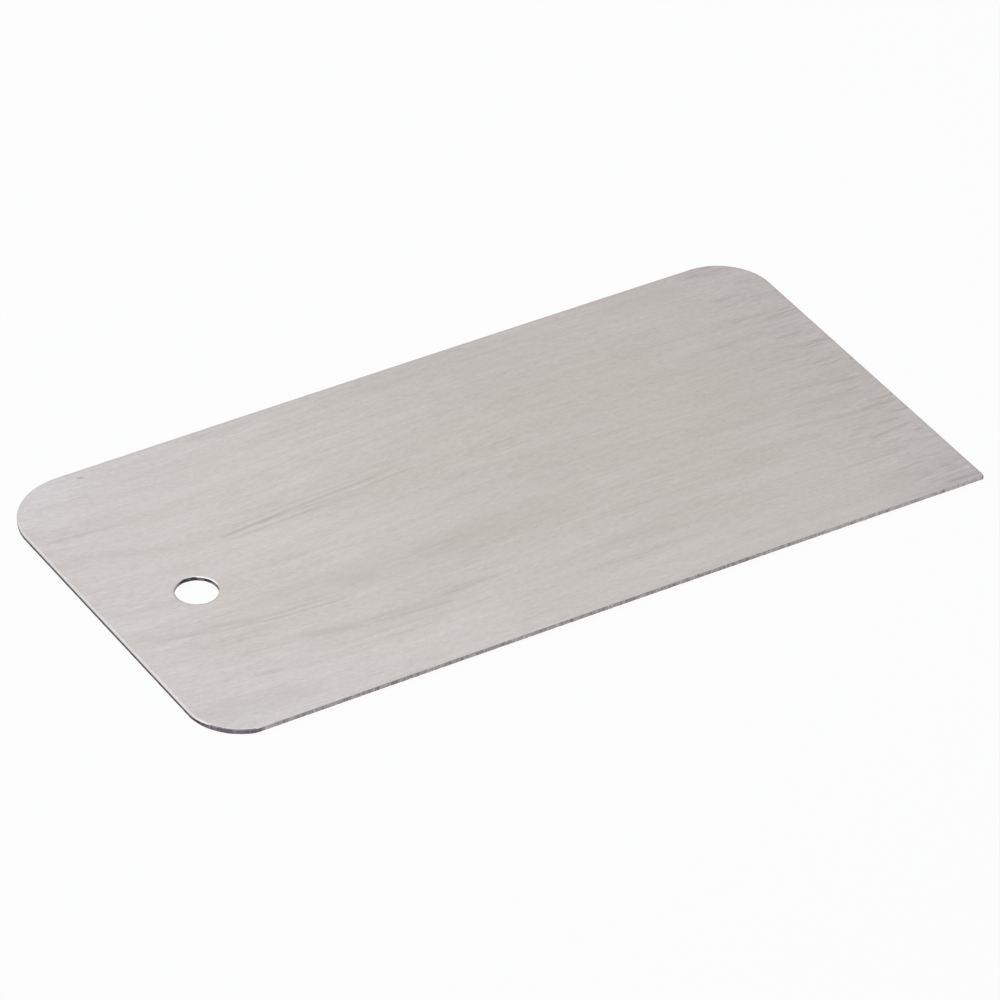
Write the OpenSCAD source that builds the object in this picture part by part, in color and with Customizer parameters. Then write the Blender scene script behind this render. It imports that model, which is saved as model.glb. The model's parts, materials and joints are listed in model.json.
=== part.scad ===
// Card scraper: one flat blade of hardened sheet steel, held in the hand.
// The blade lies flat, with its length along X, its width along Y and its upper face at +Z.
// The origin is the middle of the lower face. The hanging hole is at the -X end, which is the hand end,
// and the square scraping corner is at +X, -Y. Sizes are in millimetres.

/* [Blade] */
// Length of the blade, along X
blade_l = 125; // [80:1:200]
// Width of the blade, along Y
blade_w = 65; // [45:1:100]
// Thickness of the steel sheet
blade_t = 0.7; // [0.4:0.05:1.5]

/* [Corners] */
// Radius of the rear corner at the hand end
rear_hand_corner_r = 10.4; // [2:0.1:20]
// Radius of the front corner at the hand end
front_hand_corner_r = 8.3; // [2:0.1:20]
// Radius of the rear corner at the far end
rear_far_corner_r = 8.4; // [2:0.1:20]
// Steel ground off the front edge after punching, which leaves a slight angle where the edge meets its corner
front_grind = 0.3; // [0:0.05:0.5]

/* [Hanging hole] */
// Diameter of the hanging hole
hole_d = 6.2; // [3:0.1:9]
// Distance from the hand end to the centre of the hole
hole_inset = 14.6; // [8:0.1:25]
// Distance from the blade's middle line to the centre of the hole, towards the front edge
hole_offset = 0.85; // [0:0.05:6]

/* [Punched edges] */
// Width of the rolled upper edge along the hand end, where the punch drew the sheet down
end_roll_w = 0.45; // [0.05:0.05:0.8]
// Drop of that rolled edge
end_roll_drop = 0.2; // [0.02:0.01:0.3]
// Width of the rolled upper rim of the hole
hole_roll_w = 0.45; // [0.05:0.05:0.8]
// Drop of that rolled rim
hole_roll_drop = 0.1; // [0.02:0.01:0.3]

/* [Hidden] */
$fn = 96;
// Overshoot of each cutting tool past the steel that it cuts
cut = 0.5;
half_l = blade_l / 2;
half_w = blade_w / 2;
// Distance from the middle line to the front edge as it was punched
punched_front = half_w + front_grind;
hole_r = hole_d / 2;
hole_x = hole_inset - half_l;
hole_y = -hole_offset;
// Place of each rounded corner's tip along X and along Y as punched, and its radius. The fourth corner stays square.
rounded_corners = [
    [-half_l, half_w, rear_hand_corner_r],
    [-half_l, -punched_front, front_hand_corner_r],
    [half_l, half_w, rear_far_corner_r]
];

// Puts a shape drawn for the corner at +X, +Y, with its tip at the origin, on the corner with its tip at x, y.
module on_corner(x, y) {
    translate([x, y])
        mirror([x < 0 ? 1 : 0, 0])
            mirror([0, y < 0 ? 1 : 0])
                children();
}

// What is cut off a square corner to round it.
module corner_waste(radius) {
    difference() {
        translate([-radius, -radius]) square(radius + cut);
        translate([-radius, -radius]) circle(radius);
    }
}

module blade_outline() {
    difference() {
        square([blade_l, blade_w], center = true);
        for (corner = rounded_corners) {
            on_corner(corner[0], corner[1]) corner_waste(corner[2]);
        }
    }
}

// Section of what a rolled edge loses, for a wall that stands at the given distance along +X.
module roll_section(wall) {
    overshoot_z = cut * end_roll_drop / end_roll_w;
    polygon([
        [wall - end_roll_w - cut, blade_t + overshoot_z],
        [wall + cut, blade_t - end_roll_drop - overshoot_z],
        [wall + cut, blade_t + cut]
    ]);
}

// The roll round one corner of the hand end, over a quarter turn about a centre at the given place along Y.
module corner_roll(centre_y, radius, start_angle) {
    translate([radius - half_l, centre_y, 0])
        rotate([0, 0, start_angle])
            rotate_extrude(angle = 90) roll_section(radius);
}

// The roll along the whole hand end.
module hand_end_roll() {
    rear_y = half_w - rear_hand_corner_r;
    front_y = front_hand_corner_r - punched_front;
    corner_roll(rear_y, rear_hand_corner_r, 90);
    corner_roll(front_y, front_hand_corner_r, 180);
    mirror([1, 0, 0])
        translate([0, rear_y, 0])
            rotate([90, 0, 0])
                linear_extrude(rear_y - front_y) roll_section(half_l);
}

module hanging_hole() {
    translate([hole_x, hole_y, -cut]) cylinder(r = hole_r, h = blade_t + 2 * cut);
    // The rim's cone runs on past the upper face by its own height
    translate([hole_x, hole_y, blade_t - hole_roll_drop])
        cylinder(r1 = hole_r, r2 = hole_r + 2 * hole_roll_w, h = 2 * hole_roll_drop);
}

module scraper_blade() {
    color("silver")
        difference() {
            linear_extrude(blade_t) blade_outline();
            hanging_hole();
            hand_end_roll();
        }
}

scraper_blade();
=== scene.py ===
import json
import math

import bmesh
import bpy
from mathutils import Matrix, Vector
from mathutils.geometry import delaunay_2d_cdt
from mathutils.kdtree import KDTree


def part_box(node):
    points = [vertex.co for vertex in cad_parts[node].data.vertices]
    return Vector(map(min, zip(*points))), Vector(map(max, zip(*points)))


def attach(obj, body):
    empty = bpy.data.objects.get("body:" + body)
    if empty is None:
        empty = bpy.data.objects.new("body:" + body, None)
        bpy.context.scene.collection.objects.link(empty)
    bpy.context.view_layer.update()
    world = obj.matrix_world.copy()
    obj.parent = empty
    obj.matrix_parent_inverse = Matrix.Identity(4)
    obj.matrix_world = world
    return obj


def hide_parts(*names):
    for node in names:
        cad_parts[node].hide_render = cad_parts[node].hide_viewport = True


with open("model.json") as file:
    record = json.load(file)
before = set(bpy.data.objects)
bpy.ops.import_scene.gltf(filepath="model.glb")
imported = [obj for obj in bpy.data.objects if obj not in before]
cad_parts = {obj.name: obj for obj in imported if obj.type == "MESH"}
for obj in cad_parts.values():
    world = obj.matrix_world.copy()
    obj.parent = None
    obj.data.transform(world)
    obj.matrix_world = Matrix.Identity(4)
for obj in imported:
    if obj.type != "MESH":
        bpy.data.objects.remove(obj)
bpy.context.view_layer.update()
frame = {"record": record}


# Brushed faces
# Both faces of the blade are hardened sheet steel, left as the brushing belt leaves them.
# The belt draws fine lines along the blade, which drift and cross a little, with a few deeper strokes.
mm = 0.001
blade_low, blade_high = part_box("scraper_blade")
half_length = (blade_high.x - blade_low.x) / 2
half_width = (blade_high.y - blade_low.y) / 2
sheet = blade_high.z - blade_low.z
crown = 0.15 * mm
rear_far_corner = 8.4 * mm
steel_light = (0.590, 0.548, 0.509, 1)
steel_dark = (0.370, 0.344, 0.302, 1)
# Colour of the painted highlights on the hand end's roll and on one side of the hole's rim
highlight_steel = (0.86, 0.83, 0.82, 1)
cool_cast = (0.985, 0.98, 1.045, 1)
tone_range = 0.23
hang_hole = next(m for m in frame["record"]["mounts"] if m["name"] == "hang_hole")
hole_centre = Vector(hang_hole["pos_m"]).xy
hole_radius = hang_hole["dims"]["r_mm"] * mm
# Deeper strokes of the upper face: where each starts and ends in millimetres, its width and depth of tone.
# A depth below zero is a broad patch that the belt has left brighter.
deep_strokes = (
    ((-40.5, 8.15), (-26, 9.3), 1.05, 0.15),
    ((-31, 8.95), (-9, 10.6), 1.05, 0.11),
    ((-34, 8.5), (-19, 8.8), 0.8, 0.07),
    ((-40, 7.05), (-21, 7.9), 0.9, 0.09),
    ((-32, 10.2), (-12, 11.1), 0.9, 0.07),
    ((-19, 8.45), (-5, 9.75), 0.8, 0.09),
    ((-28, 7.9), (-15, 8.2), 3.0, 0.045),
    ((-16, 10.4), (-5, 11.3), 1.4, 0.05),
    ((-62, 19.3), (-52, 18.7), 1.0, 0.06),
    ((-56, 18.8), (-45, 17.6), 1.4, 0.03),
    ((-49.6, 31.05), (-48.5, 30.6), 0.55, 0.3),
    ((-34, 31), (-20, 30.7), 1.6, 0.05),
    ((-15, 29.4), (3, 29), 2.4, 0.03),
    ((-63, 15.9), (-51, 11.2), 2.4, 0.03),
    ((-56, 13.4), (-44, 8.8), 3.4, 0.025),
    ((-62, -0.2), (-52, -2.1), 1.8, 0.035),
    ((-62, -6.8), (-50, -10.4), 1.8, 0.05),
    ((-61, -8), (-48, -10.9), 0.9, 0.06),
    ((-54, -8.4), (-42, -11.4), 2.2, 0.07),
    ((-53, -10.3), (-39, -12.4), 0.9, 0.08),
    ((-44, -11.9), (-29, -13), 0.9, 0.07),
    ((-45, -10.9), (-31, -11.7), 0.9, 0.06),
    ((-41, -10), (-32, -10.8), 0.9, 0.05),
    ((-60, -5.3), (-36, -6.3), 1.2, 0.05),
    ((-52, -8.2), (18, -9), 11.0, 0.045),
    ((-33, -8), (-23, -11.3), 5.0, 0.045),
    ((-52, -16.9), (-40, -17.9), 1.0, 0.06),
    ((-42.5, -16.9), (-31, -19.6), 2.2, 0.095),
    ((-46, -19), (-12, -20.8), 7.0, 0.03),
    ((-34, -18.4), (-24, -19.1), 1.4, 0.06),
    ((-33, -19.5), (-15.5, -20.8), 1.0, 0.08),
    ((-20, -19.2), (-7, -18.5), 1.6, 0.05),
    ((-40, -21.7), (-16, -22.5), 0.9, 0.05),
    ((-38, -23), (-20, -24), 0.9, 0.05),
    ((-51.5, -21.9), (-45.5, -22.7), 1.4, 0.08),
    ((-64, -26), (-41, -29), 6.5, 0.04),
    ((1, -20), (20, -20.5), 3.2, 0.03),
    ((22, -21.1), (38, -21.4), 0.9, 0.03),
    ((42, -21.4), (58.5, -21.5), 1.0, 0.09),
    ((43, -8.9), (55, -10.2), 1.6, 0.06),
    ((52, -10), (63, -10.7), 1.4, 0.07),
    ((52, -17.1), (62.5, -16.1), 1.1, 0.12),
    ((54, -2.4), (62, -3), 0.9, 0.12),
    ((47, -4.8), (61, -6.2), 1.8, 0.05),
    ((57, -8.7), (64, -9.2), 0.9, 0.13),
    ((55.5, -14.3), (60.5, -14.6), 0.9, 0.12),
    ((54, -30.3), (63, -30.1), 0.9, 0.11),
    ((56, -31.3), (64, -31.8), 0.9, 0.14),
    ((57, -29.4), (64, -28.5), 0.9, 0.1),
    ((57, -27.8), (64, -26.9), 0.9, 0.07),
    ((62.35, -28.7), (62.35, -31.4), 0.6, 0.14),
    ((43, -32.3), (66, -32), 4.2, 0.06),
    ((52.5, -28.9), (58, -28), 0.8, 0.07),
    ((51.5, 23.5), (58, 23.4), 0.9, 0.09),
    ((55.5, 16.2), (63, 14.9), 1.6, 0.06),
    ((45, 13.3), (50, 13), 0.9, 0.05),
    ((43, 14), (64, 13.2), 4.0, 0.035),
    ((33, 29.5), (56, 28.5), 4.0, 0.04),
    ((54.5, 11.1), (60, 10.8), 0.8, 0.09),
    ((57.5, 7.5), (63, 7.4), 0.8, 0.09),
    ((50, 31.7), (61, 29.6), 2.4, 0.05),
    ((52, 30.1), (58.5, 29.6), 1.2, 0.04),
    ((-26, -13.6), (-4, -10.5), 9.0, 0.03),
    ((-16, -2.5), (20, 1), 13.0, 0.026),
    ((-45, -3.6), (-20, -3.4), 7.0, -0.025),
    ((22, -22), (70, -17), 20.0, -0.024),
)


def add_node(tree, kind, sockets=None, **settings):
    """A node of that kind, with its settings made and its named sockets linked or set."""
    node = tree.nodes.new(kind)
    for name, value in settings.items():
        setattr(node, name, value)
    for name, value in (sockets or {}).items():
        socket = node.inputs[name]
        if isinstance(value, bpy.types.NodeSocket):
            tree.links.new(value, socket)
        else:
            socket.default_value = value
    return node


def vector(tree, operation, first, second=(0, 0, 0)):
    """The outputs of a Vector Math node on up to two vectors or sockets."""
    return add_node(tree, "ShaderNodeVectorMath", {0: first, 1: second}, operation=operation).outputs


def calc(tree, operation, first, second=0.0, third=0.0):
    """The result of a Math node on up to three numbers or sockets."""
    values = {0: first, 1: second, 2: third}
    return add_node(tree, "ShaderNodeMath", values, operation=operation).outputs[0]


def spread(tree, value, low, high, to_low=0.0, to_high=1.0, easing="LINEAR"):
    """A value taken from one range to another, and held at the ends."""
    sockets = {0: value, 1: low, 2: high, 3: to_low, 4: to_high}
    node = add_node(tree, "ShaderNodeMapRange", sockets, interpolation_type=easing)
    return node.outputs[0]


def blend_colour(tree, share, low, high):
    """The low colour where the share is 0, the high one where it is 1."""
    return add_node(tree, "ShaderNodeMix", {"Factor": share, 6: low, 7: high}, data_type="RGBA").outputs[2]


def new_finish(name):
    """A material with its node tree, its metal shader and the object's coordinates in millimetres."""
    finish = bpy.data.materials.new(name)
    finish.use_nodes = True
    tree = finish.node_tree
    shader = tree.nodes["Principled BSDF"]
    shader.inputs["Metallic"].default_value = 1
    place = add_node(tree, "ShaderNodeTexCoord").outputs["Object"]
    scale = add_node(tree, "ShaderNodeMapping", {"Vector": place, "Scale": (1 / mm,) * 3})
    return finish, tree, shader, scale.outputs[0]


def speckle(tree, place, scale, turn=0.0, offset=0.0, detail=2.0, contrast=0.5):
    """Noise of a scale of its own in each direction, turned by some degrees and moved by an offset."""
    moved = add_node(tree, "ShaderNodeMapping", {
        "Vector": place,
        "Location": (offset, offset, offset),
        "Rotation": (0, 0, math.radians(turn)),
        "Scale": scale,
    })
    noise = add_node(tree, "ShaderNodeTexNoise", {
        "Vector": moved.outputs[0],
        "Scale": 1.0,
        "Detail": detail,
        "Roughness": contrast,
    })
    return noise.outputs[0]


def brush_marks(tree, place, length, width, **pattern):
    """Marks of one brush, of a length along X and a width, about zero."""
    return calc(tree, "SUBTRACT", speckle(tree, place, (1 / length, 1 / width, 1), **pattern), 0.5)


def soft_stroke(tree, place, start, end, width):
    """One stroke of the upper face: 1 along its middle, fading to 0 at its ends and sides."""
    faded_share = 0.3
    core = 0.2
    # Too thin to reach the lower face
    thickness = 0.8 * sheet / mm
    start, end = Vector(start), Vector(end)
    middle = (start + end) / 2
    run = end - start
    local = add_node(tree, "ShaderNodeMapping", {
        "Vector": place,
        "Location": (middle.x, middle.y, sheet / mm),
        "Rotation": (0, 0, math.atan2(run.y, run.x)),
        "Scale": (run.length * faded_share, width / 2, thickness),
    }, vector_type="TEXTURE")
    full_run = (0.5 / faded_share - 1, 0, 0)
    past = vector(tree, "ABSOLUTE", local.outputs[0])[0]
    past = vector(tree, "SUBTRACT", past, full_run)[0]
    past = vector(tree, "MAXIMUM", past)[0]
    reach = vector(tree, "LENGTH", past)["Value"]
    return spread(tree, reach, core, 1.0, 1.0, 0.0, "SMOOTHSTEP")


def brushed_steel():
    """The finish of both faces and of the rolled edges: a tone about zero, turned into colour and gloss."""
    finish, tree, shader, place = new_finish("brushed_steel")
    along, across, height = add_node(tree, "ShaderNodeSeparateXYZ", {0: place}).outputs
    hand_end, far_end = -half_length / mm, half_length / mm
    # The belt's path drifts sideways along the blade, and the lower face has marks of its own
    drift_range = 10
    face_shift = 9.0
    drift = add_node(tree, "ShaderNodeFloatCurve", {"Value": spread(tree, along, hand_end, far_end)})
    path = drift.mapping.curves[0]
    for x, y in ((0.22, 0.29), (0.35, 0.34), (0.5, 0.42), (0.66, 0.45), (0.87, 0.41)):
        path.points.new(x, y)
    path.points[0].location = (0, 0.5)
    path.points[-1].location = (1, 0.36)
    drift.mapping.update()
    wander = brush_marks(tree, place, length=22, width=9, offset=7.3)
    sideways = calc(tree, "MULTIPLY_ADD", drift.outputs[0], -drift_range, across)
    sideways = calc(tree, "ADD", wander, sideways)
    depth = calc(tree, "MULTIPLY", height, face_shift)
    drifted = add_node(tree, "ShaderNodeCombineXYZ", {0: along, 1: sideways, 2: depth}).outputs[0]

    # Even satin of the belt, with grain and dark hairs that come and go over it
    satin = brush_marks(tree, drifted, length=1.0, width=0.33, detail=3.0, contrast=0.75)
    mottle = brush_marks(tree, drifted, length=3.5, width=0.8, offset=41.3)
    grain = brush_marks(tree, drifted, length=12, width=0.4, offset=3.1)
    lines = brush_marks(tree, drifted, length=30, width=1.1, turn=1.0, offset=11.7)
    patches = brush_marks(tree, drifted, length=26, width=4, offset=27.9)
    worked = brush_marks(tree, drifted, length=16, width=8, offset=19.4)
    hairs = brush_marks(tree, drifted, length=16, width=0.3, offset=71.5, detail=1.0)
    hair_depth = 0.065
    hairs = calc(tree, "MULTIPLY", spread(tree, hairs, 0.08, 0.25), -hair_depth)
    grain_weight = 0.15
    tone = calc(tree, "MULTIPLY_ADD", grain, grain_weight, hairs)
    tone = calc(tree, "MULTIPLY", tone, spread(tree, worked, -0.1, 0.15, 0.25, 1.0))
    for marks, weight in ((satin, 0.34), (mottle, 0.09), (lines, 0.1), (patches, 0.16)):
        tone = calc(tree, "MULTIPLY_ADD", marks, weight, tone)

    # The borders are brighter, the front one most, up to near its ends
    inner, outer = 18, 30
    front_lift = 0.042
    rear_lift = 0.015
    front = spread(tree, across, -inner, -outer, 0.0, front_lift, "SMOOTHSTEP")
    front = calc(tree, "MULTIPLY", front, spread(tree, along, -56, -42))
    front = calc(tree, "MULTIPLY", front, spread(tree, along, 46, 58, 1.0, 0.0))
    rear = spread(tree, across, inner, outer, 0.0, rear_lift, "SMOOTHSTEP")
    tone = calc(tree, "ADD", tone, calc(tree, "ADD", front, rear))

    # Dark ticks, in clusters, and a haze where the belt leaves the far end
    tick_depth = 0.26
    haze_depth = 0.035
    leaving_run = 22
    haze = brush_marks(tree, drifted, length=4.5, width=0.8, turn=-5, offset=53.6)
    haze = spread(tree, haze, -0.02, 0.16, 0.0, haze_depth)
    ticks = brush_marks(tree, drifted, length=3.5, width=0.35, turn=-6, offset=61.2, detail=1.0)
    ticks = spread(tree, ticks, 0.05, 0.2, 0.0, tick_depth)
    clusters = brush_marks(tree, drifted, length=9, width=3, offset=67.8)
    clusters = spread(tree, clusters, -0.02, 0.14)
    ticks = calc(tree, "MULTIPLY_ADD", ticks, clusters, haze)
    leaving = spread(tree, along, far_end - leaving_run, far_end, easing="SMOOTHSTEP")
    tone = calc(tree, "SUBTRACT", tone, calc(tree, "MULTIPLY", ticks, leaving))

    # Deeper strokes, which sway a little and are feathered by the grain and the satin
    sway = 0.5
    feathering = 2.0
    swayed = calc(tree, "MULTIPLY_ADD", wander, sway, across)
    swayed = add_node(tree, "ShaderNodeCombineXYZ", {0: along, 1: swayed, 2: height}).outputs[0]
    dark = 0.0
    for start, end, width, deep in deep_strokes:
        dark = calc(tree, "MULTIPLY_ADD", soft_stroke(tree, swayed, start, end, width), deep, dark)
    feather = calc(tree, "MULTIPLY_ADD", grain, feathering, 1.0)
    feather = calc(tree, "MULTIPLY_ADD", satin, feathering, feather)
    tone = calc(tree, "SUBTRACT", tone, calc(tree, "MULTIPLY", dark, feather))

    # A painted highlight makes the steel lighter where it rolls down to the hand end
    hand_zone = 9
    arch = calc(tree, "POWER", calc(tree, "DIVIDE", along, far_end), 2.0)
    top = calc(tree, "MULTIPLY_ADD", arch, -crown / mm, (sheet + crown) / mm)
    drop = calc(tree, "SUBTRACT", top, height)
    rolled = spread(tree, drop, 0.004, 0.04)
    rolled = calc(tree, "MULTIPLY", rolled, spread(tree, drop, 0.35, 0.45, 1.0, 0.0))
    rolled = calc(tree, "MULTIPLY", rolled, calc(tree, "LESS_THAN", along, hand_zone + hand_end))

    # A thin darker line of painted shade runs along the rear edge and the far end, round the corner between
    # them too
    arris_from, arris_to = 0.45, 0.2
    arris_shade_depth = 0.06
    arris_depth = 0.3
    radius = rear_far_corner / mm
    past_corner = vector(tree, "SUBTRACT", place, (far_end - radius, half_width / mm - radius, 0))[0]
    past_corner = vector(tree, "MAXIMUM", vector(tree, "MULTIPLY", past_corner, (1, 1, 0))[0])[0]
    painted_edge_shade = vector(tree, "LENGTH", past_corner)["Value"]
    painted_edge_shade = spread(tree, painted_edge_shade, radius - arris_from, radius - arris_to)
    painted_edge_shade = calc(tree, "MULTIPLY", painted_edge_shade, calc(tree, "GREATER_THAN", along, hand_zone + hand_end))
    painted_edge_shade = calc(tree, "MULTIPLY", painted_edge_shade, calc(tree, "LESS_THAN", drop, arris_depth))
    tone = calc(tree, "MULTIPLY_ADD", painted_edge_shade, -arris_shade_depth, tone)

    # On the hole's rim a painted highlight lightens the side towards the rear and the far end,
    # and painted shade darkens the side towards the front and the hand end
    rim_width = 0.6
    rim_shade_depth = 0.1
    highlight_bearing = math.radians(40)
    from_hole = vector(tree, "SUBTRACT", place, (hole_centre.x / mm, hole_centre.y / mm, 0))[0]
    from_hole = vector(tree, "MULTIPLY", from_hole, (1, 1, 0))[0]
    distance = vector(tree, "LENGTH", from_hole)["Value"]
    on_rim = calc(tree, "LESS_THAN", distance, hole_radius / mm + rim_width)
    on_rim = calc(tree, "MULTIPLY", on_rim, spread(tree, drop, 0.001, 0.02))
    outwards = vector(tree, "NORMALIZE", from_hole)[0]
    highlight_facing = vector(tree, "DOT_PRODUCT", outwards, (math.cos(highlight_bearing), math.sin(highlight_bearing), 0))["Value"]
    highlight_share = spread(tree, highlight_facing, 0.6, 0.9, easing="SMOOTHSTEP")
    painted_rim_highlight = calc(tree, "MULTIPLY", on_rim, highlight_share)
    painted_rim_shade = calc(tree, "MULTIPLY", on_rim, spread(tree, highlight_facing, 0.25, -0.15))
    tone = calc(tree, "MULTIPLY_ADD", painted_rim_shade, -rim_shade_depth, tone)

    # Painted highlights: the hand end's roll and one side of the hole's rim are blended towards a light
    # colour
    end_highlight_strength = 0.24
    rim_highlight_strength = 0.7
    painted_highlight = calc(tree, "MULTIPLY", rolled, end_highlight_strength)
    painted_highlight = calc(tree, "MULTIPLY_ADD", painted_rim_highlight, rim_highlight_strength, painted_highlight)
    level = spread(tree, tone, -tone_range, tone_range)
    colour = blend_colour(tree, level, steel_dark, steel_light)
    colour = blend_colour(tree, painted_highlight, colour, highlight_steel)

    # Handling leaves the borders cooler in tone than the middle, the far end and its tip most
    patch_weight = 0.7
    from_middle = calc(tree, "ABSOLUTE", along)
    from_axis = calc(tree, "ABSOLUTE", across)
    to_tip = calc(tree, "SUBTRACT", along, across)
    border = calc(tree, "MULTIPLY", patches, patch_weight)
    casts = (
        (from_middle, 25, 62, 0.45),
        (from_axis, 14, 33, 0.35),
        (along, 46, 62, 0.45),
        (to_tip, 82, 94, 0.6),
    )
    for reach, low, high, share in casts:
        border = calc(tree, "ADD", border, spread(tree, reach, low, high, 0.0, share, "SMOOTHSTEP"))
    mix = {"data_type": "RGBA", "blend_type": "MULTIPLY", "clamp_factor": False}
    cool = add_node(tree, "ShaderNodeMix", {"Factor": border, 6: colour, 7: cool_cast}, **mix)
    tree.links.new(cool.outputs[2], shader.inputs["Base Color"])

    # Brighter places are smoother, and the grain can be felt
    plain_roughness = 0.4
    tone_polish = 0.4
    rough = calc(tree, "MULTIPLY_ADD", tone, -tone_polish, plain_roughness)
    tree.links.new(rough, shader.inputs["Roughness"])
    bump = add_node(tree, "ShaderNodeBump", {"Strength": 0.3, "Distance": 0.01 * mm, "Height": grain})
    tree.links.new(bump.outputs[0], shader.inputs["Normal"])
    return finish


face_finish = brushed_steel()


# Long edges and ends
# The blade's outline is punched out of the sheet, and the long edges are then ground square.
# The punch draws the sheet down along the hand end, and leaves a smooth land above a torn one.
# The wall colours are partly the darker colour of ground and torn steel, and partly painted shade for the
# shadowed table they mirror
shaded_ground_light = (0.475, 0.44, 0.448, 1)
shaded_ground_dark = (0.19, 0.174, 0.18, 1)
shaded_torn_light = (0.29, 0.26, 0.285, 1)
shaded_torn_dark = (0.02, 0.018, 0.02, 1)
polished_tip = (0.56, 0.52, 0.53, 1)


def ground_edge():
    """The finish of the outline's wall: ground along the long edges, torn at the ends and the corners, with
    painted shade.
    """
    finish, tree, shader, place = new_finish("ground_edge")
    along, across, height = add_node(tree, "ShaderNodeSeparateXYZ", {0: place}).outputs
    hand_end, far_end = -half_length / mm, half_length / mm
    front_edge = -half_width / mm
    grinding_start = -54.8
    blots = speckle(tree, place, (2.2, 2.2, 0.8), detail=3.0, contrast=0.65)
    ticks = speckle(tree, place, (5.5, 5.5, 1.0), detail=1.0)
    patches = speckle(tree, place, (0.6, 0.6, 0.6))
    level = 0.0
    for marks, weight in ((patches, 0.4), (blots, 1.1), (ticks, 0.9)):
        level = calc(tree, "MULTIPLY_ADD", marks, weight, level)

    # The wheel leaves brighter steel where it starts, and towards the square corner, with coarser marks
    start_light = spread(tree, along, grinding_start, grinding_start + 1, 0.18, 0.0)
    tip_light = spread(tree, along, 24, 44, 0.0, 0.17)
    coarse = calc(tree, "SUBTRACT", ticks, 0.5)
    coarse = calc(tree, "MULTIPLY", coarse, spread(tree, along, 44, 54, 0.0, 0.8))
    ground_level = level
    for change in (tip_light, start_light, coarse):
        ground_level = calc(tree, "ADD", ground_level, change)
    ground = blend_colour(tree, spread(tree, ground_level, 0.9, 1.5), shaded_ground_dark, shaded_ground_light)
    upper_half = spread(tree, height, 0.2, 0.4, 0.0, 0.3)
    polish = calc(tree, "MULTIPLY", spread(tree, along, 47, 58), upper_half)
    ground = blend_colour(tree, polish, ground, polished_tip)

    # Painted shade darkens the straight hand end and the tip of the square corner more than the round
    # corners
    end_shade = spread(tree, along, hand_end + 0.15, hand_end + 1, 0.43, 0.0)
    tip_shade = spread(tree, along, far_end - 0.7, far_end - 0.3, 0.0, 0.42)
    at_tip = spread(tree, across, front_edge + 0.3, front_edge + 1.2, 1.0, 0.0)
    tip_shade = calc(tree, "MULTIPLY", tip_shade, at_tip)
    torn_contrast = 0.7
    torn_base = 0.3
    torn_level = calc(tree, "MULTIPLY_ADD", level, torn_contrast, torn_base)
    torn_level = calc(tree, "SUBTRACT", torn_level, calc(tree, "ADD", end_shade, tip_shade))
    torn = blend_colour(tree, spread(tree, torn_level, 0.68, 1.42), shaded_torn_dark, shaded_torn_light)

    # Only the long edges are ground; the ends and the corners stay as punched
    flat_within = 0.05
    tip_left = 0.25
    grinding_fade = 0.9
    is_long = calc(tree, "GREATER_THAN", calc(tree, "ABSOLUTE", across), half_width / mm - flat_within)
    before_tip = calc(tree, "LESS_THAN", along, far_end - tip_left)
    past_corner = spread(tree, along, grinding_start - grinding_fade, grinding_start, easing="SMOOTHSTEP")
    is_ground = calc(tree, "MULTIPLY", calc(tree, "MULTIPLY", is_long, before_tip), past_corner)
    tree.links.new(blend_colour(tree, is_ground, torn, ground), shader.inputs["Base Color"])
    shader.inputs["Roughness"].default_value = 0.5
    bump = add_node(tree, "ShaderNodeBump", {"Strength": 0.5, "Distance": 0.02 * mm, "Height": ticks})
    tree.links.new(bump.outputs[0], shader.inputs["Normal"])
    return finish


edge_finish = ground_edge()


# Hanging hole
# The hole is punched through the blade near the hand end, for a hook or a peg.
# Its wall is torn below a rim that the punch has rolled over, and its colour is painted shade, dark in
# patches.
shaded_hole_light = (0.24, 0.23, 0.25, 1)
shaded_hole_dark = (0.045, 0.042, 0.047, 1)


def shaded_hole_wall():
    """The finish of the hole's wall: painted shade, dark in patches."""
    finish, tree, shader, place = new_finish("shaded_hole_wall")
    blotches = speckle(tree, place, (0.8, 0.8, 0.8), offset=447.44, detail=3.0, contrast=0.6)
    level = spread(tree, blotches, 0.44, 0.62)
    tree.links.new(blend_colour(tree, level, shaded_hole_dark, shaded_hole_light), shader.inputs["Base Color"])
    shader.inputs["Roughness"].default_value = 0.5
    return finish


hole_finish = shaded_hole_wall()


# Punched rims
# A rim is the strip of steel from the edge of one face to the edge of the other.
# It has the roll where the punch drew the sheet down, the wall, and a broken lower edge.
rear_hand_corner = 10.4 * mm
front_hand_corner = 8.3 * mm
front_grind = 0.3 * mm
square_corner = 0.12 * mm
roll_share = 0.4
foot_share = 0.85
section_points = 18
corner_points = 96


def new_geometry_tree(name, inputs, outputs):
    """A geometry tree with named inputs and outputs, given as name to socket type."""
    tree = bpy.data.node_groups.new(name, "GeometryNodeTree")
    for label, kind in inputs.items():
        tree.interface.new_socket(label, in_out="INPUT", socket_type=kind)
    for label, kind in outputs.items():
        tree.interface.new_socket(label, in_out="OUTPUT", socket_type=kind)
    return tree, add_node(tree, "NodeGroupInput").outputs, add_node(tree, "NodeGroupOutput")


def captured(tree, geometry, **fields):
    """The geometry with those fields kept on its points, and the kept fields."""
    node = add_node(tree, "GeometryNodeCaptureAttribute", {"Geometry": geometry})
    for label, (kind, field) in fields.items():
        node.capture_items.new(kind, label)
        tree.links.new(field, node.inputs[label])
    return node.outputs["Geometry"], [node.outputs[label] for label in fields]


def blend_of(tree, share, low, high):
    """low where the share is 0, high where it is 1."""
    return spread(tree, share, 0.0, 1.0, low, high)


length_kind = "NodeSocketFloat"
rim_inputs = {
    "Path": "NodeSocketGeometry",
    "Station": length_kind,
    "Sheet": length_kind,
    "Roll Width": length_kind,
    "Roll Drop": length_kind,
    "Torn Lip": length_kind,
    "Tear": length_kind,
    "Foot": length_kind,
    "Grind Depth": length_kind,
    "Grind Pitch": length_kind,
}


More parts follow.
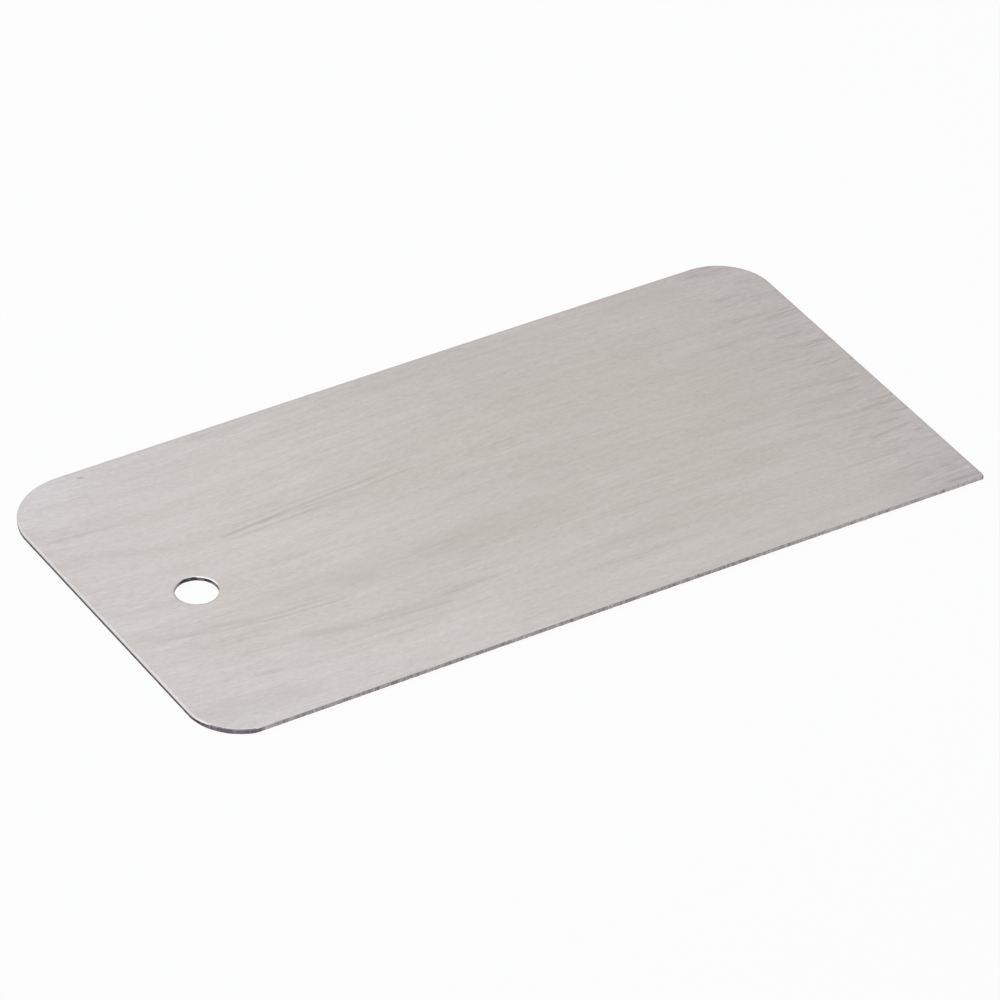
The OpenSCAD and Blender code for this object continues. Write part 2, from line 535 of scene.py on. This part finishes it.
def punched_rim_tree():
    """The rim along a path that has the steel on its left: a strip whose section changes along the path."""
    tree, given, result = new_geometry_tree(
        "punched_rim", rim_inputs, {"Rim": "NodeSocketGeometry", "Wall": "NodeSocketBool"})
    stations = add_node(tree, "GeometryNodeResampleCurve", {
        "Curve": given["Path"], "Length": given["Station"]}, mode="LENGTH")
    place = add_node(tree, "GeometryNodeInputPosition").outputs[0]
    tangent = add_node(tree, "GeometryNodeInputTangent").outputs[0]
    path, (place, tangent, roll_width, roll_drop, lip, tear) = captured(
        tree, stations.outputs[0],
        place=("VECTOR", place),
        tangent=("VECTOR", tangent),
        roll_width=("FLOAT", given["Roll Width"]),
        roll_drop=("FLOAT", given["Roll Drop"]),
        lip=("FLOAT", given["Torn Lip"]),
        tear=("FLOAT", given["Tear"]))
    line = add_node(tree, "GeometryNodeCurvePrimitiveLine")
    line = add_node(tree, "GeometryNodeResampleCurve", {
        "Curve": line.outputs[0], "Count": section_points})
    factor = add_node(tree, "GeometryNodeSplineParameter").outputs["Factor"]
    section, (down,) = captured(tree, line.outputs[0], down=("FLOAT", factor))
    strip = add_node(tree, "GeometryNodeCurveToMesh", {"Curve": path, "Profile Curve": section})

    quarter_turn = math.pi / 2
    roll_turn = spread(tree, down, 0.0, roll_share, 0.0, quarter_turn)
    wall = spread(tree, down, roll_share, foot_share)
    foot_turn = spread(tree, down, foot_share, 1.0, 0.0, quarter_turn)

    # Nicks along the lower edge
    least_nick, most_nick = 0.3, 3.0
    grind_scale = calc(tree, "DIVIDE", 1.0, given["Grind Pitch"])
    grind = add_node(tree, "ShaderNodeTexNoise", {
        "Vector": place, "Scale": grind_scale, "Detail": 2.0}).outputs[0]
    foot = calc(tree, "MULTIPLY", given["Foot"], spread(tree, grind, 0.35, 0.75, least_nick, most_nick))

    # Height of each point of the section
    roll_fall = calc(tree, "SUBTRACT", 1.0, calc(tree, "COSINE", roll_turn))
    wall_height = calc(tree, "SUBTRACT", given["Sheet"], roll_drop)
    wall_height = calc(tree, "SUBTRACT", wall_height, foot)
    height = calc(tree, "SUBTRACT", given["Sheet"], calc(tree, "MULTIPLY", roll_drop, roll_fall))
    height = calc(tree, "SUBTRACT", height, calc(tree, "MULTIPLY", wall_height, wall))
    foot_fall = calc(tree, "MULTIPLY", foot, calc(tree, "SINE", foot_turn))
    height = calc(tree, "SUBTRACT", height, foot_fall)

    # Inset of each point of the section into the steel
    roll_in = calc(tree, "SUBTRACT", 1.0, calc(tree, "SINE", roll_turn))
    foot_in = calc(tree, "SUBTRACT", 1.0, calc(tree, "COSINE", foot_turn))
    inset = calc(tree, "MULTIPLY", roll_width, roll_in)
    inset = calc(tree, "MULTIPLY_ADD", foot, foot_in, inset)
    worn = calc(tree, "SINE", calc(tree, "MULTIPLY", wall, math.pi))
    worn = calc(tree, "MULTIPLY", worn, given["Grind Depth"])
    inset = calc(tree, "MULTIPLY_ADD", worn, grind, inset)
    highest_tear = 0.15
    tear_range = 0.4
    tear_slope = 0.2
    torn_from = calc(tree, "MULTIPLY_ADD", grind, tear_range, highest_tear)
    torn_to = calc(tree, "ADD", torn_from, tear_slope)
    torn = spread(tree, wall, torn_from, torn_to, easing="SMOOTHSTEP")
    inset = calc(tree, "MULTIPLY_ADD", torn, tear, inset)

    steel_side = vector(tree, "CROSS_PRODUCT", (0, 0, 1), tangent)[0]
    into_steel = add_node(tree, "ShaderNodeVectorMath", {
        0: steel_side, "Scale": inset}, operation="SCALE").outputs[0]
    lift = add_node(tree, "ShaderNodeCombineXYZ", {2: height}).outputs[0]
    moved = vector(tree, "ADD", vector(tree, "ADD", place, into_steel)[0], lift)[0]
    shaped = add_node(tree, "GeometryNodeSetPosition", {
        "Geometry": strip.outputs[0], "Position": moved})
    smooth = add_node(tree, "GeometryNodeSetShadeSmooth", {"Geometry": shaped.outputs[0]})
    # The wall's finish, with its painted shade, can reach up over part of the roll
    wall_from = calc(tree, "SUBTRACT", roll_share, lip)
    is_wall = add_node(tree, "FunctionNodeCompare", {0: down, 1: wall_from}, operation="GREATER_THAN")
    tree.links.new(smooth.outputs[0], result.inputs["Rim"])
    tree.links.new(is_wall.outputs[0], result.inputs["Wall"])
    return tree


punched_rim = punched_rim_tree()


def blade_rims_tree():
    """The outline's rim and the hole's rim, made from the blade's sizes."""
    sizes = {label: length_kind for label in (
        "Length", "Width", "Sheet", "Rear Hand Corner", "Front Hand Corner", "Rear Far Corner",
        "Square Corner", "Front Grind", "Hole Radius", "End Roll Width", "End Roll Drop",
        "Corner Roll Width", "Corner Roll Drop", "Roll Reach", "Hole Roll Width", "Hole Front Drop",
        "Hole Rear Drop", "Plain Roll")}
    sizes["Hole Centre"] = "NodeSocketVector"
    tree, given, result = new_geometry_tree("blade_rims", sizes, {"Rims": "NodeSocketGeometry"})

    # The outline as punched, with a radius of its own at each corner and steel to spare at the front
    position = add_node(tree, "GeometryNodeInputPosition").outputs[0]
    place = add_node(tree, "ShaderNodeSeparateXYZ", {0: position}).outputs
    is_hand = calc(tree, "LESS_THAN", place[0], 0.0)
    is_rear = calc(tree, "GREATER_THAN", place[1], 0.0)
    far = blend_of(tree, is_rear, given["Square Corner"], given["Rear Far Corner"])
    hand = blend_of(tree, is_rear, given["Front Hand Corner"], given["Rear Hand Corner"])
    square = add_node(tree, "GeometryNodeCurvePrimitiveQuadrilateral", {
        "Width": given["Length"], "Height": given["Width"]})
    spare = calc(tree, "MULTIPLY", is_hand, calc(tree, "SUBTRACT", is_rear, 1.0))
    spare = calc(tree, "MULTIPLY", spare, given["Front Grind"])
    blank = add_node(tree, "GeometryNodeSetPosition", {
        "Geometry": square.outputs[0],
        "Offset": add_node(tree, "ShaderNodeCombineXYZ", {1: spare}).outputs[0]})
    punched = add_node(tree, "GeometryNodeFilletCurve", {
        "Curve": blank.outputs[0], "Count": corner_points,
        "Radius": blend_of(tree, is_hand, far, hand)}, mode="POLY")
    # Grinding takes the front edge back to the blade's width
    front = calc(tree, "MULTIPLY", given["Width"], -0.5)
    ground = add_node(tree, "ShaderNodeCombineXYZ", {
        0: place[0], 1: calc(tree, "MAXIMUM", place[1], front)})
    outline = add_node(tree, "GeometryNodeSetPosition", {
        "Geometry": punched.outputs[0], "Position": ground.outputs[0]})

    circle = add_node(tree, "GeometryNodeCurvePrimitiveCircle", {
        "Resolution": corner_points * 4, "Radius": given["Hole Radius"]})
    circle = add_node(tree, "GeometryNodeTransform", {
        "Geometry": circle.outputs[0], "Translation": given["Hole Centre"]})
    # Seen from inside the hole the steel lies outwards, so its path runs the other way
    ring = add_node(tree, "GeometryNodeReverseCurve", {"Curve": circle.outputs[0]})

    # The straight hand end is drawn down most, its front corner over a wider strip with the wall's painted
    # shade up over a lip
    end_run = 1.5 * mm
    corner_run = 0.8 * mm
    corner_lip = 0.23
    light_tear = 0.03 * mm
    end = calc(tree, "MULTIPLY", given["Length"], -0.5)
    end_fade = calc(tree, "ADD", end, end_run)
    at_end = spread(tree, place[0], end, end_fade, 1.0, 0.0, "SMOOTHSTEP")
    hand_end = calc(tree, "ADD", end, given["Roll Reach"])
    hand_fade = calc(tree, "ADD", hand_end, corner_run)
    at_hand = spread(tree, place[0], hand_end, hand_fade, 1.0, 0.0, "SMOOTHSTEP")
    at_front = calc(tree, "MULTIPLY", at_hand, calc(tree, "SUBTRACT", 1.0, is_rear))
    edge_width = blend_of(tree, at_front, given["Plain Roll"], given["Corner Roll Width"])
    edge_width = blend_of(tree, at_end, edge_width, given["End Roll Width"])
    edge_drop = blend_of(tree, at_front, given["Plain Roll"], given["Corner Roll Drop"])
    edge_drop = blend_of(tree, at_end, edge_drop, given["End Roll Drop"])
    at_corner = calc(tree, "MULTIPLY", at_front, calc(tree, "SUBTRACT", 1.0, at_end))
    edge_lip = calc(tree, "MULTIPLY", at_corner, corner_lip)
    edge_tear = calc(tree, "MULTIPLY", at_hand, light_tear)

    # The punch came into the hole at a slant: it drew the rim down most on the side towards the front,
    # and tore the wall most on the other side, where the wall's painted shade reaches up over a short lip
    deep_tear = 0.12 * mm
    hole_lip_rise = 0.15
    torn_side = math.radians(60)
    lip_side = math.radians(84)
    from_hole = vector(tree, "SUBTRACT", position, given["Hole Centre"])[0]
    to_torn = (math.cos(torn_side), math.sin(torn_side), 0)
    to_lip = (math.cos(lip_side), math.sin(lip_side), 0)
    torn_reach = vector(tree, "DOT_PRODUCT", from_hole, to_torn)["Value"]
    lip_reach = vector(tree, "DOT_PRODUCT", from_hole, to_lip)["Value"]
    front_drop, rear_drop = given["Hole Front Drop"], given["Hole Rear Drop"]
    hole_drop = spread(tree, torn_reach, -2.6 * mm, 1.0 * mm, front_drop, rear_drop)
    hole_tear = spread(tree, torn_reach, 1.3 * mm, 2.6 * mm, light_tear, deep_tear)
    hole_lip = spread(tree, lip_reach, 2.75 * mm, 2.95 * mm, 0.0, hole_lip_rise)

    edge = add_node(tree, "GeometryNodeGroup", node_tree=punched_rim, sockets={
        "Path": outline.outputs[0],
        "Station": 0.25 * mm,
        "Sheet": given["Sheet"],
        "Roll Width": edge_width,
        "Roll Drop": edge_drop,
        "Torn Lip": edge_lip,
        "Tear": edge_tear,
        "Foot": 0.03 * mm,
        "Grind Depth": 0.012 * mm,
        "Grind Pitch": 0.8 * mm,
    })
    hole = add_node(tree, "GeometryNodeGroup", node_tree=punched_rim, sockets={
        "Path": ring.outputs[0],
        "Station": 0.12 * mm,
        "Sheet": given["Sheet"],
        "Roll Width": given["Hole Roll Width"],
        "Roll Drop": hole_drop,
        "Torn Lip": hole_lip,
        "Tear": hole_tear,
        "Foot": 0.03 * mm,
        "Grind Depth": 0.02 * mm,
        "Grind Pitch": 1.2 * mm,
    })
    rims = add_node(tree, "GeometryNodeJoinGeometry")
    tree.links.new(edge.outputs["Rim"], rims.inputs[0])
    tree.links.new(hole.outputs["Rim"], rims.inputs[0])
    made = add_node(tree, "GeometryNodeRealizeInstances", {"Geometry": rims.outputs[0]}).outputs[0]
    everywhere = {"Material": face_finish}
    on_edge = {"Material": edge_finish, "Selection": edge.outputs["Wall"]}
    on_hole = {"Material": hole_finish, "Selection": hole.outputs["Wall"]}
    for finish in (everywhere, on_edge, on_hole):
        made = add_node(tree, "GeometryNodeSetMaterial", {"Geometry": made} | finish).outputs[0]
    tree.links.new(made, result.inputs["Rims"])
    return tree


blade_sizes = {
    "Length": 2 * half_length,
    "Width": 2 * half_width,
    "Sheet": sheet,
    "Rear Hand Corner": rear_hand_corner,
    "Front Hand Corner": front_hand_corner,
    "Rear Far Corner": rear_far_corner,
    "Square Corner": square_corner,
    "Front Grind": front_grind,
    "Hole Radius": hole_radius,
    "Hole Centre": (hole_centre.x, hole_centre.y, 0),
    "End Roll Width": 0.38 * mm,
    "End Roll Drop": 0.22 * mm,
    "Corner Roll Width": 0.6 * mm,
    "Corner Roll Drop": 0.1 * mm,
    "Roll Reach": 6 * mm,
    "Hole Roll Width": 0.42 * mm,
    "Hole Front Drop": 0.16 * mm,
    "Hole Rear Drop": 0.06 * mm,
    "Plain Roll": 0.04 * mm,
}

blade = bpy.data.objects.new("blade", bpy.data.meshes.new("blade"))
bpy.context.scene.collection.objects.link(blade)
rims = blade.modifiers.new("rims", "NODES")
rims.node_group = blade_rims_tree()
for item in rims.node_group.interface.items_tree:
    if item.in_out == "INPUT" and item.name in blade_sizes:
        rims[item.identifier] = blade_sizes[item.name]
evaluated = blade.evaluated_get(bpy.context.evaluated_depsgraph_get())
blade.data = bpy.data.meshes.new_from_object(evaluated)
blade.modifiers.remove(rims)
# The strips start with an empty slot, so the brushed steel moves up to be the first
blade.data.materials.pop(index=0)


# Faces between the rims
# The upper and the lower face are flat, from the outline's rim to the hole's rim.
# The coil that the sheet came from has left it a slight crown along its length.
face_step = 3 * mm
face_margin = 1.2 * mm
same_point = 1e-9


def fill_face(steel, height):
    """Closes one side of the rims with a face of even triangles at that height."""
    open_edges = [e for e in steel.edges if e.is_boundary]
    rim_edges = [e for e in open_edges if abs(e.verts[0].co.z - height) < sheet / 2]
    rim_points = list(dict.fromkeys(v for e in rim_edges for v in e.verts))
    number = {v: i for i, v in enumerate(rim_points)}
    near_rim = KDTree(len(rim_points))
    for v, i in number.items():
        near_rim.insert(v.co, i)
    near_rim.balance()
    flat = [v.co.xy for v in rim_points]
    rows = int(half_width / face_step)
    columns = int(half_length / face_step)
    for row in range(-rows, rows + 1):
        for column in range(-columns, columns + 1):
            point = Vector(((column + row % 2 / 2) * face_step, row * face_step, height))
            if near_rim.find(point)[2] > face_margin:
                flat.append(point.xy)
    rim_pairs = [[number[v] for v in e.verts] for e in rim_edges]
    inside_rims = 1
    places, _, triangles, sources, _, _ = delaunay_2d_cdt(flat, rim_pairs, [], inside_rims, same_point)
    corners = {}
    for triangle in triangles:
        middle = sum((places[i] for i in triangle), Vector((0, 0))) / 3
        if (middle - hole_centre).length < hole_radius:
            continue
        for i in triangle:
            if i not in corners:
                rim_point = next((s for s in sources[i] if s < len(rim_points)), None)
                on_rim = rim_point is not None
                corners[i] = rim_points[rim_point] if on_rim else steel.verts.new((*places[i], height))
        face = steel.faces.new([corners[i] for i in triangle])
        face.smooth = True
    for e in rim_edges:
        e.smooth = False


steel = bmesh.new()
steel.from_mesh(blade.data)
fill_face(steel, sheet)
fill_face(steel, 0)
bmesh.ops.recalc_face_normals(steel, faces=steel.faces)
for v in steel.verts:
    v.co.z += crown * (1 - (v.co.x / half_length) ** 2)
steel.to_mesh(blade.data)
steel.free()

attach(blade, "root")
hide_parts("scraper_blade")


# Floor
# A plain white table top that the blade lies on. It isn't part of the blade.
# It shows white to the camera and in the steel, and keeps the blade's shadow.
floor_reach = 3.0
floor_gap = 0.02 * mm
floor_white = (0.92, 0.92, 0.92, 1)
floor_clean = 0.94


def seen_directly(tree):
    """1 for what the camera sees, by itself, in a reflection or through glass."""
    path = add_node(tree, "ShaderNodeLightPath").outputs
    seen = calc(tree, "MAXIMUM", path["Is Camera Ray"], path["Is Glossy Ray"])
    return calc(tree, "MAXIMUM", seen, path["Is Transmission Ray"])


floor_mesh = bpy.data.meshes.new("floor")
floor_signs = ((-1, -1), (1, -1), (1, 1), (-1, 1))
floor_corners = [(x * floor_reach, y * floor_reach, -floor_gap) for x, y in floor_signs]
floor_mesh.from_pydata(floor_corners, [], [(0, 1, 2, 3)])
floor = bpy.data.objects.new("floor", floor_mesh)
bpy.context.scene.collection.objects.link(floor)
paper = bpy.data.materials.new("white_paper")
paper.use_nodes = True
paper_tree = paper.node_tree
paper_tree.nodes.clear()
matt = add_node(paper_tree, "ShaderNodeBsdfDiffuse", {"Color": floor_white})
clean = add_node(paper_tree, "ShaderNodeEmission", {"Strength": 1.0})
clean_share = calc(paper_tree, "MULTIPLY", seen_directly(paper_tree), floor_clean)
mixed = add_node(paper_tree, "ShaderNodeMixShader", {
    0: clean_share, 1: matt.outputs[0], 2: clean.outputs[0]})
add_node(paper_tree, "ShaderNodeOutputMaterial", {"Surface": mixed.outputs[0]})
floor_mesh.materials.append(paper)


# Studio light
# A white room fills the shadows, and two soft boxes light the blade from above and from its hand end.
# The room shows white to the camera and in the steel, and gives less light than that to the floor.
room_fill = 0.45
room = bpy.data.worlds.new("studio")
bpy.context.scene.world = room
room.use_nodes = True
room_tree = room.node_tree
room_level = spread(room_tree, seen_directly(room_tree), 0.0, 1.0, room_fill, 1.0)
background = room_tree.nodes["Background"]
background.inputs["Color"].default_value = (1, 1, 1, 1)
room_tree.links.new(room_level, background.inputs["Strength"])


def soft_box(name, place, size, colour, glow):
    """A square soft box at a place, aimed at the blade. A glow of 1 is as bright as white paper."""
    lamp = bpy.data.lights.new(name, "AREA")
    lamp.size = size
    lamp.color = colour
    lamp.energy = glow * math.pi * size ** 2
    box = bpy.data.objects.new(name, lamp)
    box.location = place
    box.rotation_euler = (-Vector(place)).to_track_quat("-Z", "Y").to_euler()
    box.visible_camera = False
    bpy.context.scene.collection.objects.link(box)


soft_box("hand_end_box", place=(-0.046, 0.095, 0.233), size=0.4, colour=(0.752, 0.829, 1.0), glow=0.625)
soft_box("overhead_box", place=(-0.2, 0.02, 0.55), size=0.3, colour=(1, 1, 1), glow=1.6)


# Camera
# It stands in front of the hand end and looks down on the blade, as in the photograph.
# Its place, its aim and its long lens come from fitting the blade's outline in perspective.
azimuth = math.radians(-31.736)
elevation = math.radians(35.649)
roll = math.radians(1.053)
distance = 1075.03 * mm
aim_right = 1.522 * mm
aim_up = -1.213 * mm
lens = 273.33
back = Vector((
    math.sin(azimuth) * math.cos(elevation),
    -math.cos(azimuth) * math.cos(elevation),
    math.sin(elevation)))
right = Vector((0, 0, 1)).cross(back).normalized()
up = back.cross(right)
tilt = Matrix.Rotation(roll, 3, back)
right, up = tilt @ right, tilt @ up
camera = bpy.data.objects.new("camera", bpy.data.cameras.new("camera"))
camera.data.lens = lens
camera.data.sensor_width = 36
camera.data.clip_start = 0.05
camera.data.clip_end = 20
turned = Matrix((right, up, back)).transposed().to_4x4()
camera.matrix_world = Matrix.Translation(right * aim_right + up * aim_up + back * distance) @ turned
bpy.context.scene.collection.objects.link(camera)
bpy.context.scene.camera = camera

bpy.context.scene.view_settings.view_transform = "Standard"
